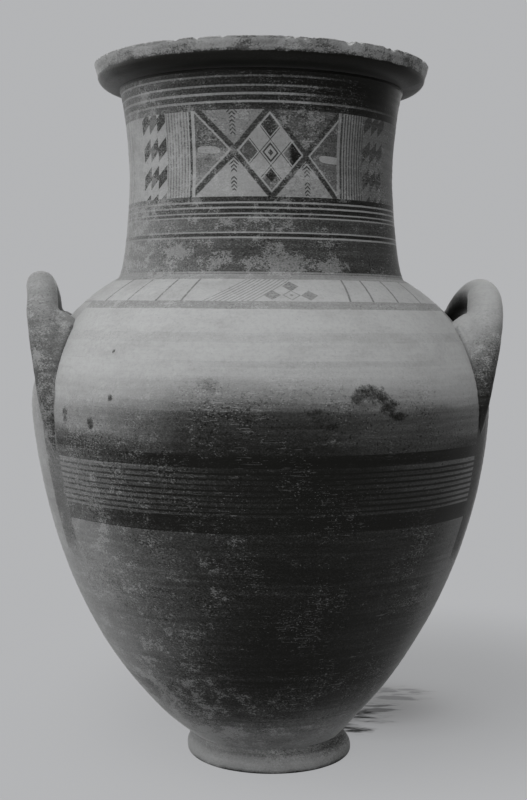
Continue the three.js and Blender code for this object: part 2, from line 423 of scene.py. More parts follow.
    def banded(self, bands: Sequence[Band], low_mm: float) -> list["Reading"]:
        """Read the paint and its wear off bands at a height.

        Args:
            bands: the bands, from the top down.
            low_mm: where the last band ends.

        Returns:
            The paint's depth of tone and its wear.
        """
        rising = bands[::-1]
        bottoms = (low_mm, *(band.top_mm for band in rising))
        stops = [(bottom, band.tone, band.wear, 0.0) for bottom, band in zip(bottoms, rising)]
        parts = self.graph.node("SeparateColor", {"Color": self.ramp(stops, bands[0].top_mm, "CONSTANT")})
        return [Reading(self.graph, parts.outputs[name]) for name in ("Red", "Green")]


def joined(masks: Iterable[Reading]) -> Reading:
    """Join masks, so that any of them marks the place."""
    return reduce(or_, masks)


class Effects:
    """The node groups that the finishes share, each built once."""

    def __init__(self) -> None:
        """Build every group."""
        self.round_jar = self._built("round_the_jar", self._round_jar)
        self.worn_paint = self._built("worn_paint", self._worn_paint, "Paint", "Wear")
        self.clay_skin = self._built("clay_skin", self._clay_skin)

    @staticmethod
    def _built(name: str, rule: Callable[..., dict[str, Reading]], *inputs: str) -> bpy.types.NodeTree:
        """Build one group.

        Args:
            name: the group's name.
            rule: gives the outputs by name, from the place and the other inputs.
            inputs: the names of the other inputs.

        Returns:
            The group's tree.
        """
        tree = bpy.data.node_groups.new(name, "ShaderNodeTree")
        graph = Graph(tree)
        tree.interface.new_socket("Position", in_out="INPUT", socket_type="NodeSocketVector")
        for socket in inputs:
            tree.interface.new_socket(socket, in_out="INPUT", socket_type="NodeSocketFloat")
        given = tree.nodes.new("NodeGroupInput").outputs
        results = rule(*(Reading(graph, given[socket]) for socket in ("Position", *inputs)))
        for socket in results:
            tree.interface.new_socket(socket, in_out="OUTPUT", socket_type="NodeSocketFloat")
        graph.feed(tree.nodes.new("NodeGroupOutput"), results)
        return tree

    @staticmethod
    def _round_jar(place: Reading) -> dict[str, Reading]:
        """Turn a place into an angle from the front, one that the back mirrors, a height and a radius."""
        x, y, z = place.parts()
        turn = x.math("ARCTAN2", y * -1.0) * math.degrees(1.0)
        from_face = abs(turn).above(90.0).pick(turn, turn.math("SIGN") * 180.0 - turn)
        radius = (x * x + y * y).math("SQRT")
        return {"Turn": turn, "From Face": from_face, "Height mm": z / MM, "Radius mm": radius / MM}

    @staticmethod
    def _worn_paint(place: Reading, paint: Reading, wear: Reading) -> dict[str, Reading]:
        """Rub a painted surface down to the clay in patches, flecks and scratches."""
        grit = place.squeezed(1.5).noise(480.0, 3.0, 0.65)
        patches = place.squeezed(1.3).noise(42.0, 6.0, 0.7)
        edge = patches * 0.7 + grit * 0.3 - (0.725 - wear * 0.235)
        rubbed = edge.step(0.0, 0.03)
        thinned = edge.step(-0.08, 0.04)
        clusters = place.noise(15.0, 3.0, 0.6) * 0.6
        flecks = (place.squeezed(2.2).noise(400.0, 1.0, 0.5) + clusters).step(1.0, 1.05)
        scratches = (place.squeezed(12.0).noise(75.0, 2.0, 0.5) + clusters).step(0.97, 1.03)
        crisp = rubbed * 0.7 | flecks * 0.75 | scratches * 0.6
        lost = thinned * 0.3 | crisp * wear.step(0.05, 0.42)
        specks = (clusters - place.squeezed(1.3).noise(360.0, 1.0, 0.5)).step(-0.06, -0.01)
        washes = place.squeezed(1.6).noise(9.0, 3.0, 0.5) - 0.5
        strokes = place.squeezed(26.0).noise(8.0, 4.0, 0.6) - 0.5
        gritty = (grit - 0.5) * (wear * 1.3 + 0.7)
        uneven = washes * 0.6 + strokes * 0.85 + gritty - specks * 0.6
        coat = paint.math("MULTIPLY", 1.0 - uneven, clamp=True)
        return {"Paint": coat * (1.0 - lost * 0.85), "Lost": lost * paint}

    @staticmethod
    def _clay_skin(place: Reading) -> dict[str, Reading]:
        """Give the grain, wheel lines and pits of a thrown wall as a height, and its mottling as a mask."""
        grain = place.noise(900.0, 3.0, 0.7)
        lines = place.squeezed(22.0).noise(30.0, 3.0, 0.65)
        pits = place.noise(260.0, 1.0, 0.5).step(0.74, 0.8)
        wide = place.squeezed(2.5).noise(16.0, 6.0, 0.68)
        fine = place.noise(240.0, 4.0, 0.75)
        specks = place.noise(420.0, 2.0, 0.5).step(0.7, 0.77)
        mottle = wide.step(0.42, 0.72) * 0.45 + fine.step(0.4, 0.75) * 0.4
        return {"Height": grain * 0.35 + lines * 0.5 - pits * 0.6, "Mottle": mottle | specks}


@dataclass(frozen=True)
class Patch:
    """A patch with a ragged edge: where its middle is, in degrees and millimetres, and how far it reaches."""

    turn: float
    height_mm: float
    half_turn: float
    half_height_mm: float
    depth: float


def new_material(name: str) -> tuple[bpy.types.Material, Graph, Reading]:
    """Start a material.

    Args:
        name: its name.

    Returns:
        The material, its graph, and the place on the surface.
    """
    material = bpy.data.materials.new(name)
    material.use_nodes = True
    graph = Graph(material.node_tree)
    return material, graph, Reading(graph, graph.node("TexCoord").outputs["Object"])


class Surface:
    """One clay surface's material in the making, with where each point of it is on the jar."""

    def __init__(self, name: str, effects: Effects) -> None:
        """Start the material."""
        self.material, self.graph, self.place = new_material(name)
        self.effects = effects
        around = self.graph.group(effects.round_jar, Position=self.place)
        self.turn = around["Turn"]
        self.face = around["From Face"]
        self.height = around["Height mm"]
        self.radius = around["Radius mm"]

    def spread(self, patches: Sequence[Patch], ragged: float, core: float) -> Reading:
        """Mark patches on the jar.

        Args:
            patches: the patches.
            ragged: how far their edges wander.
            core: the share of a patch that has its full depth, the rest fading out.

        Returns:
            Each patch's depth inside it and 0 outside.
        """
        wander = (self.place.noise(150.0, 6.0, 0.8) - 0.5) * ragged
        masks = []
        for patch in patches:
            aside = (self.turn - patch.turn) / patch.half_turn
            up = (self.height - patch.height_mm) / patch.half_height_mm
            masks.append((aside * aside + up * up + wander).step(1.2, core) * patch.depth)
        return joined(masks)


@dataclass(frozen=True)
class Clay:
    """The colours and gloss of the fired clay and of its paint."""

    pale: tuple[float, float, float, float] = (0.39, 0.395, 0.395, 1.0)
    stained: tuple[float, float, float, float] = (0.2, 0.2, 0.195, 1.0)
    dark: tuple[float, float, float, float] = (0.0045, 0.0045, 0.0034, 1.0)
    shows_through: float = 0.009
    pale_roughness: float = 0.78
    dark_roughness: float = 0.42
    gloss: float = 0.1
    dust: float = 0.3
    dust_roughness: float = 0.22
    relief: float = 0.35 * MM
    relief_strength: float = 0.5

    def finish(self, surface: Surface, paint: Value, wear: Value) -> bpy.types.Material:
        """Build the shader of a clay surface from its paint and wear.

        Args:
            surface: the surface.
            paint: the thickness of the paint, from 0, bare, to 1, dark.
            wear: how much of the paint is rubbed away.

        Returns:
            The surface's finished material.
        """
        graph, place, effects = surface.graph, surface.place, surface.effects
        worn = graph.group(effects.worn_paint, Position=place, Paint=paint, Wear=wear)
        skin = graph.group(effects.clay_skin, Position=place)
        bare = (skin["Mottle"] * 0.6).tint(self.pale, self.stained)
        seen_clay = self.shows_through ** worn["Paint"]
        height = skin["Height"] - worn["Lost"] * 0.5
        relief = {"Strength": self.relief_strength, "Distance": self.relief, "Height": height}
        bump = graph.node("Bump", relief)
        shader = graph.node("BsdfPrincipled", {
            "Base Color": seen_clay.tint(self.dark, bare),
            "Roughness": worn["Paint"].pick(self.pale_roughness, self.dark_roughness),
            "Specular IOR Level": self.gloss,
            "Sheen Weight": self.dust,
            "Sheen Roughness": self.dust_roughness,
            "Normal": bump.outputs["Normal"],
        })
        graph.node("OutputMaterial", {"Surface": shader.outputs["BSDF"]})
        return surface.material


CLAY = Clay()


@dataclass(frozen=True)
class NeckPaint:
    """The painted neck: rings above and below a panel of lozenges on each face."""

    upper_rings: tuple[Band, ...] = (
        Band(771.0, 1.0, 0.1), Band(765.6, 0.38, 0.3), Band(763.8, 0.9, 0.25), Band(756.2, 0.24, 0.4),
        Band(754.2, 0.82, 0.4), Band(748.2, 0.14, 0.4), Band(745.8, 0.74, 0.5), Band(740.2, 0.12, 0.4),
        Band(737.8, 0.7, 0.5),
    )
    lower_rings: tuple[Band, ...] = (
        Band(640.7, 0.74, 0.6), Band(635.4, 0.1, 0.3), Band(633.4, 0.72, 0.5), Band(629.7, 0.1, 0.3),
        Band(627.9, 0.74, 0.5), Band(623.7, 0.1, 0.3), Band(622.0, 0.72, 0.5), Band(619.3, 0.12, 0.3),
        Band(617.6, 0.46, 0.5), Band(603.7, 0.07, 0.3), Band(601.8, 0.72, 0.4), Band(598.4, 0.07, 0.3),
        Band(596.4, 0.46, 0.5), Band(561.5, 0.15, 0.3), Band(559.6, 0.45, 0.3), Band(558.9, 0.12, 0.3),
    )
    panel_mm: tuple[float, float] = (640.7, 731.0)
    lowest_mm: float = 540.0
    radius_mm: float = 153.0
    face_turn: float = -1.4
    # Between these heights, and by the turn curve below, the neck's right side under the lip is darkened: painted
    # shade, with some real grime.
    grime_and_shade_mm: tuple[float, float] = (728.0, 752.0)
    cross_mm: float = 38.3
    left_arm_mm: float = 44.8
    right_arm_mm: float = 38.6
    tilt: float = 0.065
    lean: float = 0.035
    frame_mm: float = 80.1
    frame_aside_mm: float = 3.1
    lozenge_mm: tuple[float, float] = (33.3, 40.0)
    right_corner: Curve = ((0.3, 0.15), (0.6, 0.3), (0.72, 0.95), (1.0, 0.95))
    bar_mm: tuple[float, float, float] = (66.5, 12.6, 3.9)
    chevron_mm: float = 4.2
    chevron_columns_mm: tuple[tuple[float, float], ...] = ((16.0, 47.0), (-23.0, -5.0), (-42.0, -27.0))
    lines_mm: tuple[float, float] = (87.0, 116.0)
    line_pitch_mm: float = 3.9
    harlequin_mm: tuple[float, float] = (117.0, 157.2)
    harlequin_tier_mm: float = 30.0
    ground: float = 0.07
    wear_round: Curve = (
        (-90.0, 0.62), (-55.0, 0.6), (-30.0, 0.42), (-5.0, 0.38), (18.0, 0.4), (34.0, 0.2), (60.0, 0.05),
        (90.0, 0.1),
    )
    # Paler on the left, where the neck is lit more and worn more: painted light as well as wear.
    light_and_wear_round: Curve = (
        (-90.0, 0.2), (-62.0, 0.26), (-40.0, 0.48), (-20.0, 0.8), (10.0, 0.94), (30.0, 1.0), (90.0, 0.92),
    )
    grime_and_shade_round: Curve = ((-90.0, 0.0), (0.0, 0.0), (14.0, 0.3), (28.0, 0.66), (44.0, 0.88), (90.0, 0.9))
    bald: tuple[Patch, ...] = (
        Patch(3.0, 571.0, 20.0, 17.0, 0.85), Patch(24.0, 568.0, 11.0, 10.0, 0.75),
        Patch(-22.0, 574.0, 9.0, 12.0, 0.55), Patch(-42.0, 580.0, 9.0, 12.0, 0.5),
        Patch(12.0, 722.0, 16.0, 10.0, 0.2),
    )

    def material(self, effects: Effects) -> bpy.types.Material:
        """Make the painted neck's material."""
        neck = Surface("painted_neck", effects)
        height = neck.height.wobbled(neck.place, 0.5)
        low, high = self.panel_mm
        middle = (low + high) / 2.0
        half = (high - low) / 2.0
        upper, upper_wear = height.banded(self.upper_rings, high)
        lower, lower_wear = height.banded(self.lower_rings, self.lowest_mm)
        above = height.above(middle)
        rings = above.pick(lower, upper) * neck.face.curve(self.light_and_wear_round) | 0.09
        # Painted shade, with some grime, on the right side of the neck under the lip.
        grime_and_shade = neck.face.curve(self.grime_and_shade_round) * height.step(*self.grime_and_shade_mm)
        rings = rings | grime_and_shade * above
        across = ((neck.face - self.face_turn) * math.radians(self.radius_mm)).wobbled(neck.place, 0.8)
        up = height - middle
        inside = up.between(-half, half, 0.3)
        wear = inside.pick(above.pick(lower_wear, upper_wear) * 0.7, 0.4) + neck.face.curve(self.wear_round)
        wear = wear + neck.spread(self.bald, 1.8, -0.6)
        return CLAY.finish(neck, inside.pick(rings, self._panel(across, up, half)), wear)

    def _panel(self, across: Reading, up: Reading, half: float) -> Reading:
        """Draw one face's panel: two X shapes with a lozenge between them.

        Args:
            across: millimetres round the neck from the panel's middle.
            up: millimetres above the panel's middle.
            half: half of the panel's height in millimetres.

        Returns:
            The paint's thickness.
        """
        straight = across + up * self.lean
        level = up + (across * self.tilt - 1.0)
        side = abs(straight)
        past = side - self.cross_mm
        on_right = straight.above(0.0)
        arm = on_right.pick(1.0 / self.left_arm_mm, 1.0 / self.right_arm_mm)
        from_cross = past / -self.cross_mm | past * arm
        slant = self.cross_mm * half / math.hypot(self.cross_mm, half)
        beside = (from_cross - abs(level) / half) * slant
        stroke = beside.between(-3.6, 1.9, 0.9) * 0.5
        flank = past.step(0.3, -0.3).pick(self._wing(side, level, on_right), self._lozenge(straight, level))
        sky = on_right.pick(level.step(-2.0, 2.0).pick(0.05, 0.16), self._dusky(level))
        quarter = sky | self._chevrons(past - 1.0, level)
        fill = beside.step(1.6, 2.2).pick(quarter, flank * beside.step(3.5, 4.2))
        framed = abs(across + self.frame_aside_mm)
        beyond = framed.step(self.frame_mm - 1.4, self.frame_mm - 1.0)
        return beyond.pick(fill | stroke | self.ground, self._edges(framed, across, up))

    @staticmethod
    def _dusky(level: Reading) -> Reading:
        """Darken the quarters at the right, the upper one more, with a thin line near its top; the darker right
        side is partly painted shade.
        """
        return level.step(-2.0, 2.0).pick(0.1, 0.34) | level.between(39.5, 41.0, 0.3) * 0.5

    def _wing(self, side: Reading, level: Reading, on_right: Reading) -> Reading:
        """Fill the triangle beside an X, with a pale rounded bar across it."""
        centre, half_width, half_height = self.bar_mm
        aside = abs((side - centre) / half_width) ** 3.0
        over = abs((level + 1.2) / half_height) ** 3.0
        bar = (aside + over).step(1.15, 0.85)
        wing = level.step(-6.0, 3.0).pick(on_right.pick(0.2, 0.28), on_right.pick(0.3, 0.36))
        return wing * (1.0 - bar * 0.92)

    def _lozenge(self, across: Reading, up: Reading) -> Reading:
        """Draw the middle lozenge: nine cells, four of them pale, and rings in the middle one."""
        width = across / self.lozenge_mm[0]
        level = up / self.lozenge_mm[1]
        first = abs(width + level)
        second = abs(width - level)
        farther = first | second
        corner = first.math("MINIMUM", second).step(0.4, 0.42)
        notch = level * -1.0 + abs(width) * 0.9
        bottom = notch.step(0.74, 0.79).pick(0.68, 0.3)
        ends = width.step(-0.1, 0.1).pick(0.4, width.curve(self.right_corner))
        corners = abs(level).above(abs(width)).pick(ends, level.step(-0.1, 0.1).pick(bottom, 0.58))
        lattice = first.between(0.325, 0.36, 0.008) | second.between(0.325, 0.36, 0.008)
        rings = farther.between(0.2, 0.262, 0.01) | farther.step(0.1, 0.08)
        return corner * corners | lattice * 0.42 | self.ground | rings * 0.52

    def _chevrons(self, across: Reading, up: Reading) -> Reading:
        """Stack small chevrons in a column, the one next to the X the widest."""
        away = abs(across)
        slanted = up + away * 0.95
        stroke = (slanted / self.chevron_mm).fraction().between(0.18, 0.6, 0.07)
        first = slanted.between(-11.0, -6.0, 0.5) | slanted.between(40.0, 45.0, 0.5)
        column = away.step(first.pick(3.3, 5.8), first.pick(2.9, 5.2))
        parts = joined(up.between(low, high, 0.5) for low, high in self.chevron_columns_mm)
        return stroke * column * (parts * 0.48)

    def _edges(self, side: Reading, across: Reading, up: Reading) -> Reading:
        """Draw what flanks the panel: a frame line, upright lines, a harlequin and two thin lines."""
        frame = side.between(self.frame_mm + 2.6, self.frame_mm + 5.4, 0.3)
        start, end = self.lines_mm
        in_lines = side.between(start, end, 0.2)
        lines = ((side - start) / self.line_pitch_mm).fraction().between(0.1, 0.52, 0.08) * in_lines
        # On the right the ground and the upright lines are darker than on the left: partly painted shade on the
        # side turned from the light, partly the paint's own tone.
        right = across.above(0.0)
        base = right.pick(in_lines.pick(0.04, 0.07), side.step(start, end + 10.0) * 0.1 + 0.13)
        first, last = self.harlequin_mm
        column = ((side - first) / ((last - first) / 3.0)).fraction()
        rising = right.pick(1.0 - column, column)
        tier = (up / self.harlequin_tier_mm + (rising * -0.36 + 0.4)).fraction()
        harlequin = tier.between(0.25, 0.75, 0.02) * side.between(first, last, 0.3)
        thin = side.between(189.3, 190.4, 0.3) | side.between(201.0, 202.0, 0.3)
        drawn = frame * 0.42 | lines * right.pick(0.19, 0.4) | base
        return drawn | harlequin * right.pick(0.42, 0.4) | thin * 0.2


@dataclass(frozen=True)
class BodyPaint:
    """The painted body: a band of fine motifs on the shoulder, then broad rings down to the foot."""

    bands: tuple[Band, ...] = (
        Band(530.5, 0.1, 0.4), Band(522.0, 0.015, 0.2), Band(497.0, 0.03, 0.2), Band(488.0, 0.015, 0.2),
        Band(470.0, 0.04, 0.3), Band(463.0, 0.03, 0.3), Band(450.0, 0.6, 0.1), Band(377.0, 0.98, 0.2),
        Band(363.5, 0.82, 0.1), Band(313.6, 0.98, 0.2), Band(296.5, 0.86, 0.3), Band(205.0, 0.9, 0.2),
        Band(145.0, 0.98, 0.4), Band(118.0, 0.8, 0.5), Band(60.0, 0.6, 0.9),
    )
    fading_foot: Curve = (
        (20.0, 0.1), (36.0, 0.14), (48.0, 0.19), (61.0, 0.28), (73.0, 0.42), (85.0, 0.58), (98.0, 0.7),
        (112.0, 0.82), (118.0, 0.9), (124.0, 0.97), (150.0, 0.98),
    )
    waking: Curve = (
        (377.0, 0.84), (383.0, 0.76), (391.0, 0.69), (399.0, 0.64), (407.0, 0.6), (415.0, 0.58), (420.6, 0.5),
        (422.6, 0.34), (429.6, 0.27), (431.2, 0.19), (438.4, 0.15), (446.0, 0.09), (456.0, 0.04),
    )
    low_mm: float = 20.0
    shoulder_mm: tuple[float, float] = (530.5, 553.6)
    lined_mm: tuple[float, float] = (313.6, 363.5)
    lines_mm: tuple[float, float] = (316.0, 362.0)
    line_pitch_mm: float = 5.75
    upright_turns: tuple[float, ...] = (-59.0, -47.5, -36.0, -27.3, 23.8, 32.2, 42.9, 56.3)
    oblique_pitch: float = 1.62
    lozenges: tuple[tuple[float, float], ...] = ((-1.2, 537.0), (4.9, 546.4), (10.3, 536.8))
    open_lozenge: tuple[float, float] = (4.7, 537.0)
    lozenge_size: tuple[float, float] = (2.75, 5.1)
    face_edge: float = 60.0
    leg_band: float = 8.0
    leg_tones: Curve = (
        (235.0, 0.35), (285.0, 0.85), (400.0, 0.88), (470.0, 0.62), (484.0, 0.32), (516.0, 0.22), (530.0, 0.05),
    )
    # Paler towards both edges and most on the left: painted sheen and light from the left, as well as thinned and
    # worn paint.
    light_and_wear_round: Curve = (
        (-90.0, 0.06), (-66.0, 0.1), (-57.0, 0.13), (-50.0, 0.17), (-43.0, 0.26), (-38.0, 0.33), (-32.0, 0.43),
        (-24.0, 0.56), (-15.0, 0.78), (-7.0, 0.92), (0.0, 0.97), (8.0, 0.98), (16.0, 0.91), (26.0, 0.78),
        (38.0, 0.64), (46.0, 0.48), (53.0, 0.3), (60.0, 0.24), (70.0, 0.2), (90.0, 0.16),
    )
    # Near the foot, paler towards both edges and most on the left: painted light as well as worn paint.
    low_light_and_wear_round: Curve = (
        (-90.0, 0.2), (-50.0, 0.3), (-38.0, 0.54), (-25.0, 0.82), (-12.0, 0.92), (2.0, 1.0), (17.0, 0.88),
        (33.0, 0.62), (60.0, 0.36), (90.0, 0.2),
    )
    # The black band by turn, paler on the left: painted sheen from the light as well as worn paint.
    black_light_and_wear_round: Curve = (
        (-90.0, 0.18), (-62.0, 0.25), (-50.0, 0.31), (-44.0, 0.47), (-39.0, 0.64), (-30.0, 0.88), (-20.0, 1.0),
        (46.0, 1.0), (60.0, 0.8), (70.0, 0.7), (90.0, 0.5),
    )
    # The fading zone by turn, paler towards both edges and most on the left: painted light as well as worn paint.
    soft_light_and_wear_round: Curve = (
        (-90.0, 0.08), (-55.0, 0.14), (-45.0, 0.2), (-38.0, 0.3), (-29.0, 0.48), (-21.0, 0.76), (-14.0, 1.04),
        (-5.0, 1.0), (5.0, 0.98), (11.0, 0.93), (18.0, 0.76), (26.0, 0.69), (36.0, 0.64), (47.0, 0.48),
        (60.0, 0.4), (70.0, 0.35), (90.0, 0.25),
    )
    wear_round: Curve = (
        (-90.0, 0.6), (-48.0, 0.64), (-34.0, 0.58), (-16.0, 0.47), (0.0, 0.38), (24.0, 0.25), (50.0, 0.2),
        (90.0, 0.35),
    )
    stains: tuple[Patch, ...] = (
        Patch(20.2, 440.5, 4.4, 8.5, 0.72), Patch(17.6, 434.0, 3.2, 10.0, 0.56),
        Patch(22.8, 433.5, 3.6, 9.0, 0.74), Patch(25.2, 424.5, 3.8, 10.0, 0.8),
        Patch(27.6, 415.5, 3.6, 7.5, 0.88), Patch(7.4, 420.0, 3.6, 6.0, 0.78),
        Patch(8.8, 413.8, 4.8, 8.0, 0.88), Patch(10.8, 406.7, 4.6, 8.0, 0.98),
        Patch(-45.6, 402.0, 1.3, 10.0, 0.7), Patch(-39.6, 431.0, 0.9, 4.5, 0.5),
        Patch(-54.8, 410.0, 1.4, 12.0, 0.45), Patch(-42.1, 478.0, 0.5, 2.4, 0.5),
    )
    smears: tuple[Patch, ...] = (
        Patch(19.0, 425.0, 8.0, 15.0, 0.42), Patch(8.0, 416.0, 9.0, 13.0, 0.55),
        Patch(-15.5, 443.0, 5.0, 14.0, 0.24),
    )

    def material(self, effects: Effects) -> bpy.types.Material:
        """Make the painted body's material."""
        body = Surface("painted_body", effects)
        place, face = body.place, body.face
        height = body.height.wobbled(place, 0.8)
        tone, wear = height.banded(self.bands, self.low_mm)
        blurred = height.wobbled(place.squeezed(2.5), 4.0, 20.0, 6.0)
        soft = face.wobbled(place, 9.0, 22.0, 6.0).curve(self.soft_light_and_wear_round) | blurred.step(410.0, 382.0) * 0.6
        waking = blurred.curve(self.waking) * soft
        ragged = height.wobbled(place, 12.0, 34.0, 6.0)
        tone = height.step(149.5, 149.0).pick(tone, ragged.curve(self.fading_foot))
        # bold carries the black band's painted sheen on the left as well as its wear.
        bold = face.curve(self.black_light_and_wear_round)
        # thin is the face's paint by turn: painted light and sheen towards the edges, as well as wear.
        thin = height.step(122.0, 106.0).pick(face.curve(self.light_and_wear_round), face.curve(self.low_light_and_wear_round))
        in_lines = height.between(*self.lined_mm, 0.3) * face.step(0.0, -16.0)
        thin = (in_lines * 0.22).pick(thin, bold)
        black = tone.step(0.93, 0.96) * height.step(152.0, 170.0)
        tone = tone * height.step(470.0, 471.0).pick(black.pick(thin, bold), 1.0)
        tone = height.between(377.5, 456.0, 0.4).pick(tone, waking)
        low, high = self.lines_mm
        lines = ((height - low) / self.line_pitch_mm).fraction().between(0.3, 0.72, 0.08)
        tone = tone | lines * height.between(low, high, 0.2) * (bold * 0.97)
        bottom, top = self.shoulder_mm
        tone = height.between(bottom, top, 0.2).pick(tone, self._shoulder(face, height) | 0.02)
        tone = height.step(top - 0.3, top + 0.3).pick(tone, 0.1)
        tone = self._with_sides(body, height, tone)
        tone = tone | body.spread(self.stains, 3.2, -0.5) | body.spread(self.smears, 1.6, -0.6)
        return CLAY.finish(body, tone, wear * 0.55 + face.curve(self.wear_round))

    def _shoulder(self, face: Reading, height: Reading) -> Reading:
        """Draw the shoulder's upright lines, a stretch of fine slanting lines and a group of lozenges."""
        up = height - sum(self.shoulder_mm) / 2.0
        leaning = face - up * 0.09
        lines = joined(leaning.between(turn - 0.34, turn + 0.34, 0.2) for turn in self.upright_turns)
        oblique = face - up * 0.52
        fine = (oblique / self.oblique_pitch).fraction().between(0.3, 0.62, 0.12)
        marks = [lines * 0.2, fine * oblique.between(-16.2, 0.4, 0.1) * 0.12]
        for turn, level in self.lozenges:
            marks.append(self._from_lozenge(face, height, turn, level).step(1.08, 0.92) * 0.13)
        away = self._from_lozenge(face, height, *self.open_lozenge)
        frame = away.step(1.1, 1.0) - away.step(0.86, 0.78)
        marks.append((frame | away.step(0.3, 0.2)) * 0.12)
        return joined(marks)

    def _from_lozenge(self, face: Reading, height: Reading, turn: float, level: float) -> Reading:
        """Measure how far a place is from a small lozenge's middle, with 1 on its edge."""
        half_turn, half_height = self.lozenge_size
        return abs((face - turn) / half_turn) + abs((height - level) / half_height)

    def _with_sides(self, body: Surface, height: Reading, tone: Reading) -> Reading:
        """End the painted face at the handles, with a band below each leg and a paler side."""
        edge = height.step(425.0, 490.0) * 10.0 + self.face_edge
        past = abs(body.face).wobbled(body.place, 0.5, 8.0) - edge
        in_band = past.step(self.leg_band + 0.5, self.leg_band - 0.5)
        leg = height.wobbled(body.place, 14.0, 30.0).curve(self.leg_tones)
        # The band below the left leg is much paler than the right one: painted light on the lit left side.
        leg = in_band.pick(leg * 0.3, leg) * body.turn.step(-1.0, 1.0).pick(0.25, 0.9)
        on_side = past.step(-0.3, 0.3) * (height.step(235.0, 270.0) * height.step(531.0, 527.0))
        return on_side.pick(tone, leg)


@dataclass(frozen=True)
class PlainPaint:
    """A surface whose tone follows its height, such as the lip, the foot or a handle."""

    name: str
    tones: Curve
    wear: Curve
    blur_mm: float
    outer_drop: float = 0.0
    light_and_wear_round: Curve = ((-90.0, 1.0), (90.0, 1.0))
    bald: tuple[Patch, ...] = ()
    mid_radius_mm: float = 260.0
    # Painted shade on the handle's inner side under the arch, above a height.
    hole_shade: float = 0.0
    hole_shade_above_mm: float = 500.0
    middle_turn: float = 90.0

    def material(self, effects: Effects) -> bpy.types.Material:
        """Make the surface's material."""
        made = Surface(self.name, effects)
        # A positive outer_drop reads the outer side as lower on the tone curve, and so darker; on the right
        # handle this is painted shade.
        outer = made.radius - self.mid_radius_mm
        height = made.height - outer * self.outer_drop
        height = height.wobbled(made.place.squeezed(0.6), self.blur_mm, 45.0, 6.0)
        # A tone by turn: on the lip and the foot it paints light on the lit left and shade on the far right.
        tone = height.curve(self.tones) * made.face.curve(self.light_and_wear_round)
        # Painted shade: darken the inner side of the far leg under the arch, where the arch shades it.
        if self.hole_shade:
            above = made.height - self.hole_shade_above_mm
            hole_shaded = outer.between(-37.0, -14.0, 6.0) * above.step(0.0, 5.0)
            hole_shaded = hole_shaded * (made.turn - self.middle_turn).step(-8.0, -3.0) * above.step(50.0, 26.0)
            tone = tone | hole_shaded * self.hole_shade
        if self.bald:
            tone = tone * (1.0 - made.spread(self.bald, 1.2, 0.5))
        return CLAY.finish(made, tone, height.curve(self.wear))


# The lip's underside is near black: dark paint deepened with painted shade where it faces down. The lip is paler
# towards both ends, most on the left: painted light.
LIP_PAINT = PlainPaint(
    "worn_lip",
    (
        (760.0, 0.99), (785.2, 0.98), (786.4, 0.5), (789.5, 0.24), (793.0, 0.4), (797.0, 0.14), (799.4, 0.4),
        (801.0, 0.26),
    ),
    ((760.0, 0.0), (785.2, 0.1), (786.2, 1.0), (801.0, 1.2)),
    3.4,
    light_and_wear_round=(
        (-90.0, 0.2), (-72.0, 0.28), (-60.0, 0.5), (-48.0, 0.92), (-40.0, 1.0), (58.0, 1.0), (72.0, 0.7),
        (90.0, 0.45),
    ),
    bald=(
        Patch(-20.0, 794.0, 9.0, 7.0, 0.6), Patch(6.0, 793.0, 7.0, 6.5, 0.5),
        Patch(-46.0, 792.0, 5.0, 5.0, 0.5), Patch(25.0, 794.0, 5.0, 5.0, 0.45), Patch(74.0, 776.0, 5.0, 5.0, 0.5),
    ),
)
# The darker line at the very bottom is a painted contact shadow, and the foot is darker on the right: painted
# shade on the side turned from the light.
FOOT_PAINT = PlainPaint(
    "bare_foot",
    (
        (-5.0, 0.75), (0.6, 0.7), (2.2, 0.2), (5.0, 0.06), (11.0, 0.05), (17.0, 0.12), (20.0, 0.22),
        (30.0, 0.18),
    ),
    ((-5.0, 0.6), (30.0, 0.8)),
    3.5,
    light_and_wear_round=((-90.0, 0.3), (-40.0, 0.6), (-20.0, 1.0), (30.0, 1.0), (60.0, 1.7), (90.0, 2.2)),
)
INSIDE_PAINT = PlainPaint(
    "bare_inside",
    ((-5.0, 0.42), (700.0, 0.42), (790.0, 0.3)),
    ((-5.0, 0.5), (800.0, 0.6)),
    9.0,
)
# The right handle's dark legs are its own paint; its outer side and the inner side under its arch are darkened
# with painted shade.
RIGHT_HANDLE_PAINT = PlainPaint(
    "right_handle",
    (
        (340.0, 0.92), (405.0, 0.84), (425.0, 0.6), (450.0, 0.43), (470.0, 0.27), (488.0, 0.14), (505.0, 0.06),
        (530.0, 0.02), (570.0, 0.0),
    ),
    ((340.0, 0.4), (425.0, 0.5), (450.0, 0.8), (480.0, 0.8), (510.0, 0.5), (570.0, 0.3)),
    9.0,
    0.9,
    hole_shade=0.74,
)
LEFT_HANDLE_PAINT = PlainPaint(
    "left_handle",
    (
        (340.0, 0.34), (380.0, 0.42), (405.0, 0.39), (435.0, 0.3), (470.0, 0.25), (500.0, 0.21), (530.0, 0.12),
        (570.0, 0.1),
    ),
    ((340.0, 1.0), (400.0, 1.0), (450.0, 0.95), (500.0, 0.85), (530.0, 0.6), (570.0, 0.5)),
    12.0,
    0.2,
    mid_radius_mm=254.0,
)


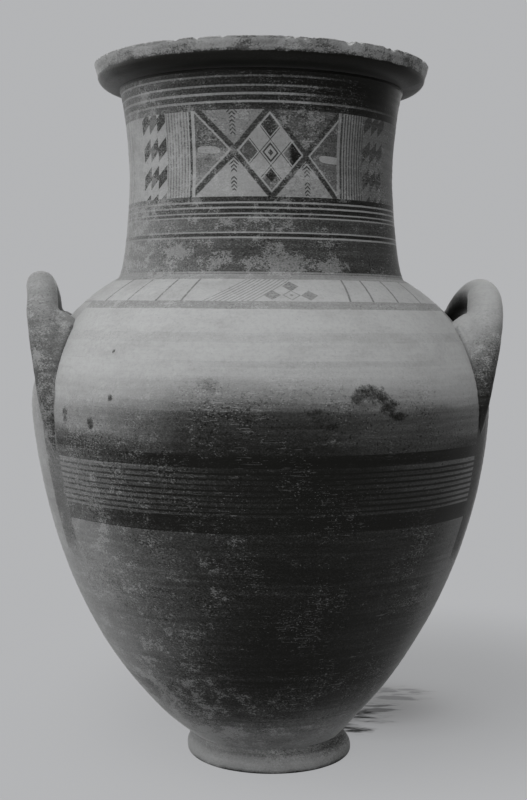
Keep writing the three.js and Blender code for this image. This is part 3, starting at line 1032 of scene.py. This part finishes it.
@dataclass
class ThrownJar:
    """The five thrown sections, which share one run of wall."""

    levels: Levels
    steps_around: int = 256
    lip_steps_around: int = 480
    foot_radius_mm: float = 95.5
    foot_bulge_mm: float = 1.5
    foot_ring_width_mm: float = 28.0
    foot_recess_mm: float = 13.0
    waist_radius_mm: float = 89.0
    belly_radius_mm: float = 265.5
    belly_height_mm: float = 412.0
    neck_base_mm: float = 168.0
    throat_mm: float = 152.1
    throat_height_mm: float = 672.0
    neck_top_mm: float = 163.3
    lip_radius_mm: float = 192.0
    lip_face_mm: float = 14.0
    lip_slant_mm: float = 4.0
    lip_edge_mm: float = 1.2
    mouth_round_mm: float = 9.0
    body_wall_mm: float = 12.0
    neck_wall_mm: float = 13.0
    floor_mm: float = 15.0
    spigot_slip_mm: float = 0.3
    crumb_mm: float = 6.5

    def __post_init__(self) -> None:
        """Work out the seams and the wall's two faces."""
        self.foot_top = self.levels.foot_top / MM
        self.neck_seam = self.levels.neck_seam / MM
        self.lip_seam = self.levels.lip_seam / MM
        self.rim_top = self.levels.rim_top / MM
        self.body_outer = self._body_outside()
        self.body_inner = self._offset(self.body_outer, self.body_wall_mm * MM)
        self.neck_outer = self._neck_outside()
        self.neck_inner = [place - point(self.neck_wall_mm, 0.0) for place in self.neck_outer]

    def _body_outside(self) -> Outline:
        """Run up the outside of the body, from the foot to the neck."""
        waist = point(self.waist_radius_mm, self.foot_top)
        belly = point(self.belly_radius_mm, self.belly_height_mm)
        corner = point(self.neck_base_mm, self.neck_seam)
        below = swept_curve(waist, point(170.0, 148.9), point(0.0, -5.0), belly, 110)
        above = swept_curve(belly, point(0.0, 30.0), point(75.6, -44.2), corner, 60)
        return below + above[1:]

    def _neck_outside(self) -> Outline:
        """Run up the outside of the neck, from the shoulder to the lip."""
        base = point(self.neck_base_mm, self.neck_seam)
        throat = point(self.throat_mm, self.throat_height_mm)
        top = point(self.neck_top_mm, self.lip_seam)
        below = swept_curve(base, point(-11.0, 0.0), point(0.0, -16.0), throat, 36)
        above = swept_curve(throat, point(0.0, 42.0), point(-2.5, 0.0), top, 34)
        return below + above[1:]

    @staticmethod
    def _offset(outline: Outline, distance: float) -> Outline:
        """Move an outline sideways, to the left of its own direction."""
        moved = []
        for index, place in enumerate(outline):
            before = outline[max(index - 1, 0)]
            after = outline[min(index + 1, len(outline) - 1)]
            along = (after - before).normalized()
            moved.append(place + Vector((-along.z, 0.0, along.x)) * distance)
        return moved

    @staticmethod
    def radius_at(outline: Outline, height: float) -> float:
        """Find the radius at which a rising outline crosses a height."""
        for lower, upper in zip(outline, outline[1:]):
            if upper.z >= height:
                share = (height - lower.z) / (upper.z - lower.z)
                return lower.x + (upper.x - lower.x) * share
        return outline[-1].x

    def _stretch(self, outline: Outline, low: float, high: float) -> Outline:
        """Take the stretch of a rising outline between two heights, with a point at each end."""
        within = [place for place in outline if low + 0.5 * MM < place.z < high - 0.5 * MM]
        start = Vector((self.radius_at(outline, low), 0.0, low))
        end = Vector((self.radius_at(outline, high), 0.0, high))
        return [start, *within, end]

    def _finish(self, name: str, outline: Outline, paints: Paints) -> bpy.types.Object:
        """Turn one section, shape it by hand and dress it.

        Args:
            name: the frame node that the section stands for.
            outline: its outline.
            paints: the outer and the inner material.

        Returns:
            The finished section.
        """
        steps = self.lip_steps_around if name == "rim" else self.steps_around
        piece = turn_outline(f"{name}_clay", outline, steps)
        for paint in paints:
            piece.data.materials.append(paint)
        self._mark_inside(piece)
        reshape(piece, HAND_MADE.moved)
        smooth_by_angle(piece, 38.0)
        dress(piece, name)
        return piece

    def _mark_inside(self, piece: bpy.types.Object) -> None:
        """Give the faces that look into the jar the inner material."""
        for face in piece.data.polygons:
            place = face.center
            towards_axis = face.normal.x * place.x + face.normal.y * place.y < 0.0
            looks_up = face.normal.z > 0.5 and place.z < 100.0 * MM
            if towards_axis or looks_up:
                face.material_index = 1

    def foot_ring(self, paints: Paints) -> bpy.types.Object:
        """Make the ring that the jar stands on."""
        inside = self.foot_radius_mm - self.foot_ring_width_mm
        face = swept_curve(
            point(self.foot_radius_mm + self.foot_bulge_mm, 6.0),
            point(0.0, 10.0),
            point(0.0, -6.0),
            point(self.waist_radius_mm, self.foot_top),
            12,
        )
        shares = (0.0, 0.3, 0.6, 0.85, 0.97)
        bottom = [point(inside + share * self.foot_ring_width_mm, 0.0) for share in shares]
        edge = [point(self.foot_radius_mm + 0.4, 1.2), point(self.foot_radius_mm + 1.1, 3.2)]
        outline = [*bottom, *edge, *face, point(inside, self.foot_top), point(inside, 0.0)]
        return self._finish("foot_ring", outline, paints)

    def lower_body(self, paints: Paints) -> bpy.types.Object:
        """Make the lower body with its floor."""
        spigot = self.foot_radius_mm - self.foot_ring_width_mm - self.spigot_slip_mm
        floor = self.foot_recess_mm + self.floor_mm
        outside = self._stretch(self.body_outer, self.levels.foot_top, self.levels.body_seam)
        inside = self._stretch(self.body_inner, self.body_inner[0].z, self.levels.body_seam)[::-1]
        dish_edge = point(inside[-1].x / MM - 18.0, floor)
        dish = swept_curve(inside[-1], point(-7.0, -5.0), point(9.0, 0.0), dish_edge, 6)
        outline = [
            point(0.0, self.foot_recess_mm),
            point(spigot, self.foot_recess_mm),
            point(spigot, self.foot_top),
            *outside,
            *inside,
            *dish[1:],
            point(0.0, floor),
        ]
        return self._finish("lower_body", outline, paints)

    def upper_body(self, paints: Paints) -> bpy.types.Object:
        """Make the upper body with the belly and shoulder."""
        outside = self._stretch(self.body_outer, self.levels.body_seam, self.levels.neck_seam)
        inner_top = point(self.neck_base_mm - self.neck_wall_mm, self.neck_seam)
        low, high = self.levels.body_seam, self.levels.neck_seam
        inside = [place for place in self.body_inner if low < place.z < high]
        start = Vector((self.radius_at(self.body_inner, low), 0.0, low))
        outline = [start, *outside, inner_top, *inside[::-1], start]
        return self._finish("upper_body", outline, paints)

    def neck(self, paints: Paints) -> bpy.types.Object:
        """Make the neck."""
        outline = [self.neck_inner[0], *self.neck_outer, *self.neck_inner[::-1]]
        return self._finish("neck", outline, paints)

    def rim(self, paints: Paints) -> bpy.types.Object:
        """Make the lip, chipped along its edge."""
        inside = self.neck_top_mm - self.neck_wall_mm
        low_edge = point(self.lip_radius_mm - self.lip_slant_mm, self.rim_top - self.lip_face_mm)
        high_edge = point(self.lip_radius_mm, self.rim_top - self.lip_edge_mm)
        below = point(self.neck_top_mm, self.lip_seam + 3.0)
        underside = swept_curve(below, point(16.0, 0.0), point(0.0, -8.0), low_edge, 22)
        face = [low_edge.lerp(high_edge, share / 9.0) for share in range(1, 10)]
        top = [point(self.lip_radius_mm - 1.3 - 1.6 * share, self.rim_top) for share in range(19)]
        mouth_top = point(inside + self.mouth_round_mm, self.rim_top)
        mouth_end = point(inside, self.rim_top - self.mouth_round_mm)
        mouth = swept_curve(mouth_top, point(-5.0, 0.0), point(0.0, 5.0), mouth_end, 8)
        outline = [
            point(inside, self.lip_seam),
            point(self.neck_top_mm, self.lip_seam),
            *underside,
            *face,
            *top,
            *mouth,
            point(inside, self.lip_seam),
        ]
        piece = self._finish("rim", outline, paints)
        reshape(piece, self._chipped)
        return piece

    def _chipped(self, place: Vector) -> Vector:
        """Knock crumbs off the lip's upper outer edge."""
        radius = math.hypot(place.x, place.y)
        near_edge = smoothstep(self.levels.rim_top - 12.0 * MM, self.levels.rim_top, place.z)
        near_edge *= smoothstep((self.lip_radius_mm - 16.0) * MM, (self.lip_radius_mm - 3.0) * MM, radius)
        crumb = max(0.0, 0.7 * noise.noise(place * 60.0) + 0.7 * noise.noise(place * 190.0) - 0.08)
        loss = near_edge * crumb * self.crumb_mm * MM
        inward = Vector((-place.x, -place.y, 0.0)) / max(radius, MM)
        return place + inward * loss * 0.6 - Vector((0.0, 0.0, loss))

    def cutter(self, inset_mm: float) -> bpy.types.Object:
        """Make a solid of the body's outer form, inset a little, to shape the handles' legs with."""
        face = self._offset(self.body_outer, inset_mm * MM)
        outline = [Vector((0.0, 0.0, face[0].z)), *face, Vector((0.0, 0.0, face[-1].z))]
        piece = turn_outline("leg_cutter", outline, self.steps_around)
        reshape(piece, HAND_MADE.moved)
        return piece


@dataclass(frozen=True)
class Station:
    """A place along a swept part, by its turn from the handle's middle, and the part's size there."""

    turn: float
    height_mm: float
    out_mm: float
    width_mm: float
    depth_mm: float


RIGHT_ROD = (
    Station(28.0, 342.0, -32.0, 29.0, 34.0),
    Station(27.9, 366.0, -23.0, 29.0, 34.0),
    Station(27.3, 390.0, -13.5, 29.0, 34.0),
    Station(26.5, 416.0, -6.5, 29.0, 34.0),
    Station(24.7, 446.0, -2.4, 29.0, 34.5),
    Station(22.0, 475.0, 0.3, 29.5, 36.0),
    Station(18.9, 501.0, -0.8, 31.0, 41.0),
    Station(15.0, 518.0, -0.8, 33.0, 42.0),
    Station(11.3, 529.8, -1.2, 34.0, 41.5),
    Station(7.5, 537.8, -1.4, 35.0, 39.0),
    Station(3.7, 542.0, -1.2, 36.0, 37.0),
    Station(0.0, 543.0, -1.0, 36.5, 36.5),
)
LEFT_ROD = (
    Station(25.6, 342.0, -29.0, 29.0, 34.0),
    Station(25.5, 366.0, -18.0, 29.0, 34.0),
    Station(24.9, 390.0, -8.5, 29.0, 34.0),
    Station(24.1, 416.0, -2.5, 29.0, 34.0),
    Station(22.3, 446.0, -1.2, 29.0, 34.5),
    Station(19.8, 475.0, -0.8, 29.5, 35.0),
    Station(17.0, 501.0, -1.8, 31.0, 36.0),
    Station(13.8, 519.5, -2.8, 33.0, 36.0),
    Station(10.6, 533.0, -5.3, 33.5, 35.5),
    Station(7.1, 542.2, -6.5, 34.0, 35.0),
    Station(3.6, 547.0, -6.5, 34.0, 34.0),
    Station(0.0, 548.3, -6.5, 34.0, 34.0),
)


@dataclass
class Handle:
    """A horseshoe handle: a rod that arches over two legs, with clay behind each leg."""

    side: Side
    rod: tuple[Station, ...]
    web_top_mm: float
    stand_mm: float = 260.5
    web_back_mm: float = 23.0
    web_depth_mm: float = 52.0
    web_width_mm: float = 25.0
    saddle_mm: float = 20.0
    crest_back_mm: float = 15.0
    crest_slim_mm: float = 4.0
    crest_depth_mm: float = 24.0
    root_widths_mm: tuple[float, float] = (30.0, 40.0)
    root_rise_mm: tuple[float, float] = (385.0, 495.0)
    root_depth_mm: float = 16.0
    root_drop_mm: float = 14.0
    voxel: float = 2.2 * MM

    def build(self, jar: ThrownJar, paint: bpy.types.Material) -> bpy.types.Object:
        """Model the handle against the wall and dress it."""
        name = f"handle_{self.side.name.lower()}"
        parts = [self._sweep("rod", [*self.rod, *self._mirrored(self.rod[-2::-1])])]
        for leg in (self._web(), self._root(jar)):
            parts.append(self._sweep("leg", leg))
            parts.append(self._sweep("leg", self._mirrored(leg)))
        piece = self._joined(parts)
        piece.name = f"{name}_clay"
        apply_modifier(piece, "REMESH", mode="VOXEL", voxel_size=self.voxel)
        apply_modifier(piece, "SMOOTH", factor=0.6, iterations=18)
        reshape(piece, self._hand_shaped)
        self._cut_to_wall(piece, jar)
        piece.data.materials.clear()
        piece.data.materials.append(paint)
        smooth_by_angle(piece, 60.0)
        dress(piece, name)
        return piece

    @staticmethod
    def _mirrored(stations: Sequence[Station]) -> list[Station]:
        """Mirror stations to the handle's other leg."""
        return [replace(station, turn=-station.turn) for station in stations]

    def _leg(self, top_mm: float) -> list[Station]:
        """Follow the rod up one leg and stop at a height."""
        over = next(index for index, station in enumerate(self.rod) if station.height_mm > top_mm)
        low, high = self.rod[over - 1], self.rod[over]
        share = (top_mm - low.height_mm) / (high.height_mm - low.height_mm)
        turn = low.turn + (high.turn - low.turn) * share
        return [*self.rod[:over], replace(low, turn=turn, height_mm=top_mm)]

    def _web(self) -> list[Station]:
        """Fill between the leg and the wall, highest at the leg."""
        crest = self._leg(self.web_top_mm)[-1]
        width = self.web_width_mm
        depth = self.web_depth_mm
        stations = [
            replace(station, out_mm=station.out_mm - self.web_back_mm, width_mm=width, depth_mm=depth)
            for station in self._leg(self.web_top_mm - self.saddle_mm)
        ]
        out = crest.out_mm - self.crest_back_mm
        width -= self.crest_slim_mm
        stations.append(replace(crest, out_mm=out, width_mm=width, depth_mm=self.crest_depth_mm))
        return stations

    def _root(self, jar: ThrownJar) -> list[Station]:
        """Spread clay along the wall on both sides of the leg."""
        narrow, wide = self.root_widths_mm
        stations = []
        for station in self._leg(self.web_top_mm - self.root_drop_mm)[2:]:
            wall = jar.radius_at(jar.body_outer, station.height_mm * MM) / MM
            risen = smoothstep(*self.root_rise_mm, station.height_mm)
            width = narrow + (wide - narrow) * risen
            depth = self.root_depth_mm * min(risen * 2.0, 1.0)
            stations.append(replace(station, out_mm=wall - self.stand_mm, width_mm=width, depth_mm=depth))
        stations[-1] = replace(stations[-1], depth_mm=self.root_depth_mm * 0.5)
        return stations

    def _place(self, station: Station) -> Vector:
        """Find where a station is."""
        angle = math.radians(station.turn + self.side.value)
        radius = (self.stand_mm + station.out_mm) * MM
        return Vector((radius * math.cos(angle), radius * math.sin(angle), station.height_mm * MM))

    def _sweep(self, name: str, stations: Sequence[Station]) -> bpy.types.Object:
        """Sweep an oval along a smooth path, with its depth across the wall.

        Args:
            name: the new object's name.
            stations: what the path passes through.

        Returns:
            The swept mesh with closed ends.
        """
        deselect_all()
        bpy.ops.mesh.primitive_circle_add(vertices=24, radius=0.5, fill_type="NGON")
        piece = bpy.context.object
        piece.name = name
        frames = self._frames(stations)
        bpy.ops.object.mode_set(mode="EDIT")
        bpy.ops.mesh.select_all(action="SELECT")
        for _ in frames[1:]:
            bpy.ops.mesh.extrude_region_move(TRANSFORM_OT_translate={"value": (0.0, 0.0, 1.0)})
        bpy.ops.object.mode_set(mode="OBJECT")
        for vertex in piece.data.vertices:
            centre, across, along_wall = frames[round(vertex.co.z)]
            vertex.co = centre + across * vertex.co.x + along_wall * vertex.co.y
        make_active(piece)
        bpy.ops.object.mode_set(mode="EDIT")
        bpy.ops.mesh.select_all(action="SELECT")
        bpy.ops.mesh.normals_make_consistent(inside=False)
        bpy.ops.object.mode_set(mode="OBJECT")
        return piece

    @staticmethod
    def _smoothed(stops: Sequence[Vector]) -> list[Vector]:
        """Pass a smooth path through its stops."""
        path = []
        last = len(stops) - 1
        for index in range(last):
            before = stops[max(index - 1, 0)]
            here, there = stops[index], stops[index + 1]
            after = stops[min(index + 2, last)]
            leave = here + (there - before) / 6.0
            arrive = there - (after - here) / 6.0
            path += list(interpolate_bezier(here, leave, arrive, there, 5))[:-1]
        path.append(stops[-1])
        return path

    def _frames(self, stations: Sequence[Station]) -> list[tuple[Vector, Vector, Vector]]:
        """Give each point of a smooth path with the oval's depth and width there, as vectors."""
        path = self._smoothed([self._place(station) for station in stations])
        sizes = [Vector((station.width_mm, station.depth_mm, 0.0)) * MM for station in stations]
        frames = []
        for index, (centre, size) in enumerate(zip(path, self._smoothed(sizes))):
            along = (path[min(index + 1, len(path) - 1)] - path[max(index - 1, 0)]).normalized()
            outward = Vector((centre.x, centre.y, 0.0)).normalized()
            outward = (outward - along * outward.dot(along)).normalized()
            frames.append((centre, outward * size.y, along.cross(outward) * size.x))
        return frames

    @staticmethod
    def _joined(parts: Sequence[bpy.types.Object]) -> bpy.types.Object:
        """Join parts into one object."""
        make_active(parts[0])
        for part in parts[1:]:
            part.select_set(True)
        bpy.ops.object.join()
        return bpy.context.object

    @staticmethod
    def _hand_shaped(place: Vector) -> Vector:
        """Leave the unevenness of fingers on the rod, and follow the jar's lean."""
        press = Vector((noise.noise(place * 24.0), noise.noise(place * 24.0 + Vector((7.0, 0.0, 0.0))), 0.0))
        grain = Vector((noise.noise(place * 90.0), noise.noise(place * 90.0 + Vector((3.0, 0.0, 0.0))), 0.0))
        lean = Vector((HAND_MADE.lean_at(place.z), 0.0, 0.0))
        return place + press * 0.9 * MM + grain * 0.25 * MM + lean

    @staticmethod
    def _cut_to_wall(piece: bpy.types.Object, jar: ThrownJar) -> None:
        """Cut away what lies inside the wall."""
        cutter = jar.cutter(1.0)
        apply_modifier(piece, "BOOLEAN", operation="DIFFERENCE", object=cutter, solver="EXACT")
        bpy.data.objects.remove(cutter)


@dataclass(frozen=True)
class Studio:
    """The floor, the lights and the camera."""

    focal_px: float = 1332.0
    frame_px: float = 800.0
    sensor_mm: float = 36.0
    distance: float = 1.565
    height: float = 0.517
    pitch: float = 3.68
    roll: float = 0.5
    turn: float = 3.9
    aside: float = 0.0014
    backdrop: tuple[float, float, float, float] = (0.455, 0.46, 0.47, 1.0)
    shaded: float = 0.76
    paper: tuple[float, float, float, float] = (0.5, 0.5, 0.505, 1.0)
    shadow_colour: tuple[float, float, float, float] = (0.03, 0.03, 0.03, 1.0)
    fade: Curve = ((0.02, 0.0), (0.07, 0.3), (0.11, 0.62), (0.17, 0.8), (0.32, 0.84), (0.6, 1.0))
    ambient: float = 0.5
    dark_front: float = 0.04
    bright_back: float = 1.7
    # Painted shadow streaks on the floor beside the foot: x, y, reach and depth of each.
    shadow_streaks: tuple[tuple[float, float, float, float], ...] = (
        (0.112, 0.082, 0.04, 1.0), (0.14, 0.12, 0.045, 1.0), (0.165, 0.15, 0.045, 0.85),
        (0.195, 0.205, 0.05, 0.7), (0.225, 0.23, 0.03, 0.6),
    )

    def camera(self) -> None:
        """Place the camera where the photograph was taken from."""
        data = bpy.data.cameras.new("camera")
        data.sensor_width = self.sensor_mm
        data.lens = self.focal_px / self.frame_px * self.sensor_mm
        camera = bpy.data.objects.new("camera", data)
        bpy.context.scene.collection.objects.link(camera)
        swing = Matrix.Rotation(-math.radians(self.turn), 4, "Z")
        tilt = Matrix.Rotation(math.radians(90.0 - self.pitch), 4, "X")
        roll = Matrix.Rotation(math.radians(self.roll), 4, "Z")
        stand = swing @ Matrix.Translation((self.aside, -self.distance, self.height))
        camera.matrix_world = stand @ tilt @ roll
        bpy.context.scene.camera = camera

    def floor(self) -> None:
        """Lay a pale floor that fades into the backdrop's colour away from the jar, with painted shadow streaks
        beside the foot and a wide painted shade to its right and behind it.
        """
        deselect_all()
        below = (0.0, 0.0, -0.0002)
        bpy.ops.mesh.primitive_circle_add(vertices=96, radius=9.0, fill_type="NGON", location=below)
        floor = bpy.context.object
        floor.name = "floor"
        bpy.ops.object.transform_apply(location=True)
        material, graph, place = new_material("pale_floor")
        wander = (place.squeezed(1.0, 0.3).noise(60.0, 4.0, 0.6) - 0.45) * 0.14
        # Painted shadow: dark streaks on the floor to the right of and behind the foot.
        shadow_streaks = joined(
            (place.distance(x, y) + wander).step(reach, 0.3 * reach) * depth
            for x, y, reach, depth in self.shadow_streaks
        )
        shaded = (*(channel * self.shaded for channel in self.backdrop[:3]), 1.0)
        # Painted shade: a wide, soft darkening of the floor to the right of and behind the jar.
        pale = place.distance(0.26, 0.3).step(0.55, 0.05).tint(self.backdrop, shaded)
        far = place.distance(0.165, 0.18).curve(self.fade)
        seen = Reading(graph, graph.node("LightPath").outputs["Is Camera Ray"])
        paper = graph.node("BsdfDiffuse", {"Color": self.paper})
        glow = graph.node("Emission", {"Color": shadow_streaks.tint(pale, self.shadow_colour)})
        mix = graph.node("MixShader", {0: (far | shadow_streaks) * seen, 1: paper.outputs[0], 2: glow.outputs[0]})
        graph.node("OutputMaterial", {"Surface": mix.outputs[0]})
        floor.data.materials.append(material)
        floor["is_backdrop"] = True

    def world(self) -> None:
        """Light everything softly, show the backdrop to the camera, and mirror a room with a dark front."""
        world = bpy.data.worlds.new("studio")
        bpy.context.scene.world = world
        world.use_nodes = True
        graph = Graph(world.node_tree)
        rays = graph.node("LightPath").outputs
        x, y, _ = Reading(graph, graph.node("TexCoord").outputs["Generated"]).parts()
        mirrored = (y - x * 0.4).step(-0.1, 1.0).pick(self.dark_front, self.bright_back)
        strength = Reading(graph, rays["Is Glossy Ray"]).pick(self.ambient, mirrored)
        soft = graph.node("Background", {"Color": (1.0, 1.0, 1.0, 1.0), "Strength": strength})
        back = graph.node("Background", {"Color": self.backdrop})
        mix = graph.node("MixShader", {0: rays["Is Camera Ray"], 1: soft.outputs[0], 2: back.outputs[0]})
        graph.node("OutputWorld", {"Surface": mix.outputs[0]})

    @staticmethod
    def lamp(name: str, place: Sequence[float], size: float, watts: float) -> None:
        """Hang one soft square light that faces the jar's middle."""
        data = bpy.data.lights.new(name, "AREA")
        data.size = size
        data.energy = watts
        lamp = bpy.data.objects.new(name, data)
        bpy.context.scene.collection.objects.link(lamp)
        lamp.location = place
        aim = Vector((0.0, 0.0, 0.45)) - Vector(place)
        lamp.rotation_euler = aim.to_track_quat("-Z", "Y").to_euler()

    def build(self) -> None:
        """Set up the whole studio."""
        self.camera()
        self.floor()
        self.world()
        self.lamp("overhead", (-0.3, -0.4, 2.6), 1.6, 32.0)
        self.lamp("front_left", (-1.7, -2.3, 1.6), 1.4, 24.0)
        self.lamp("left", (-2.6, 0.4, 1.0), 2.0, 9.0)


def corners(box: Iterable[Iterable[float]]) -> list[list[float]]:
    """Write a box's two corners as plain lists."""
    return [[float(value) for value in corner] for corner in box]


def main() -> None:
    """Build the jar and its studio around the frame."""
    logging.basicConfig(level=logging.INFO)
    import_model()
    cad_box = corners(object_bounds())
    bpy.context.scene.view_settings.view_transform = "Standard"
    Studio().build()
    effects = Effects()
    inside = INSIDE_PAINT.material(effects)
    body_paint = BodyPaint().material(effects)
    jar = ThrownJar(Levels.from_frame())
    jar.foot_ring((FOOT_PAINT.material(effects), FOOT_PAINT.material(effects)))
    jar.lower_body((body_paint, inside))
    jar.upper_body((body_paint, inside))
    jar.neck((NeckPaint().material(effects), inside))
    jar.rim((LIP_PAINT.material(effects), inside))
    Handle(Side.RIGHT, RIGHT_ROD, 514.0).build(jar, RIGHT_HANDLE_PAINT.material(effects))
    Handle(Side.LEFT, LEFT_ROD, 513.5).build(jar, LEFT_HANDLE_PAINT.material(effects))
    json.dumps({"cad": cad_box, "visual": corners(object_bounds())})


if __name__ == "__main__":
    main()
